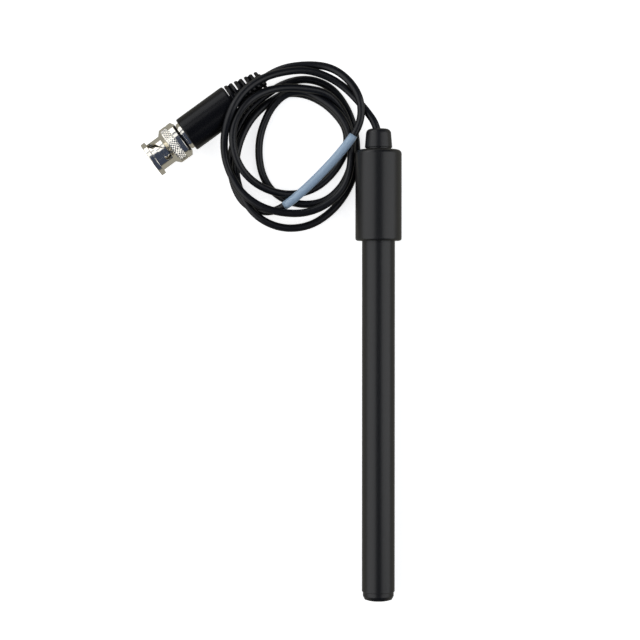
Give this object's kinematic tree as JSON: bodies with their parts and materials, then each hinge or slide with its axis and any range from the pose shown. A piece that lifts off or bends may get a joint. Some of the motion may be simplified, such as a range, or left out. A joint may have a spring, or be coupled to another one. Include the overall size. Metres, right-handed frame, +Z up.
{
  "type": "ion selective electrode",
  "caption": "Slim black laboratory electrode with a flat sensing tip, a wider cap, a thin coiled signal cable and a bayonet plug with a knurled turning collar.",
  "frame": {"origin": "on the floor, at the middle of the lying probe's box, without the cable and its plug", "axes": "+Y along the lying probe from its sensing tip to its cable end, +X to the right of the probe seen from above, +Z up"},
  "size_m": [0.0951, 0.1971, 0.0174],
  "materials": {
    "probe_plastic": "moulded black plastic, fine matte grain",
    "gland_rubber": "soft black gland boot, satin",
    "membrane": "pale sensing membrane",
    "seal_rubber": "black O-ring rubber",
    "silver": "silvered contact and solder",
    "potting": "cast resin",
    "copper": "bare copper wire",
    "insulation": "natural polyethylene",
    "cable_pvc": "near-black cable jacket, smooth with a soft sheen",
    "label_film": "clear blue-grey heat-shrink sleeve, left blank",
    "nickel": "nickel-plated brass, knurled band",
    "spring_steel": "spring steel",
    "gold": "gold-plated brass pin",
    "ptfe": "white insulator",
    "boot_rubber": "black moulded boot, semi-gloss"
  },
  "bodies": {
    "probe_and_plug": {"shaft_tube": "probe_plastic", "tip_holder": "probe_plastic", "tip_seal": "seal_rubber", "sensing_membrane": "membrane", "contact_disc": "silver", "tip_potting": "potting", "inner_lead": "copper", "lead_spacer": "probe_plastic", "solder_joint": "silver", "cap": "probe_plastic", "gland_boot": "gland_rubber", "cable_clamp": "probe_plastic", "cable_core": "copper", "cable_insulation": "insulation", "cable_braid": "copper", "cable_jacket": "cable_pvc", "cord_run": "cable_pvc", "cord_coil": "cable_pvc", "cord_tail": "cable_pvc", "label_sleeve": "label_film", "plug_boot": "boot_rubber", "plug_rear_ring": "nickel", "crimp_ferrule": "nickel", "plug_body": "nickel", "plug_insulator": "ptfe", "plug_pin": "gold", "plug_cable": "cable_pvc", "plug_gasket": "seal_rubber", "wave_washer": "spring_steel"},
    "collar_carrier": {"thrust_washer": "spring_steel"},
    "collar": {"retaining_ring": "spring_steel", "coupling_collar": "nickel"}
  },
  "joints": [
    {"name": "collar_float", "type": "slide", "parent": "probe_and_plug", "child": "collar_carrier", "axis": [-0.809, -0.5878, 0], "range_m": [0, 0.0007], "stiffness_N_per_m": 500, "springref_m": -0.0004, "deforming": ["wave_washer"]},
    {"name": "collar_turn", "type": "hinge", "parent": "collar_carrier", "child": "collar", "pos_m": [-0.07476, 0.08048, 0.00715], "axis": [-0.809, -0.5878, 0], "continuous": true}
  ]
}
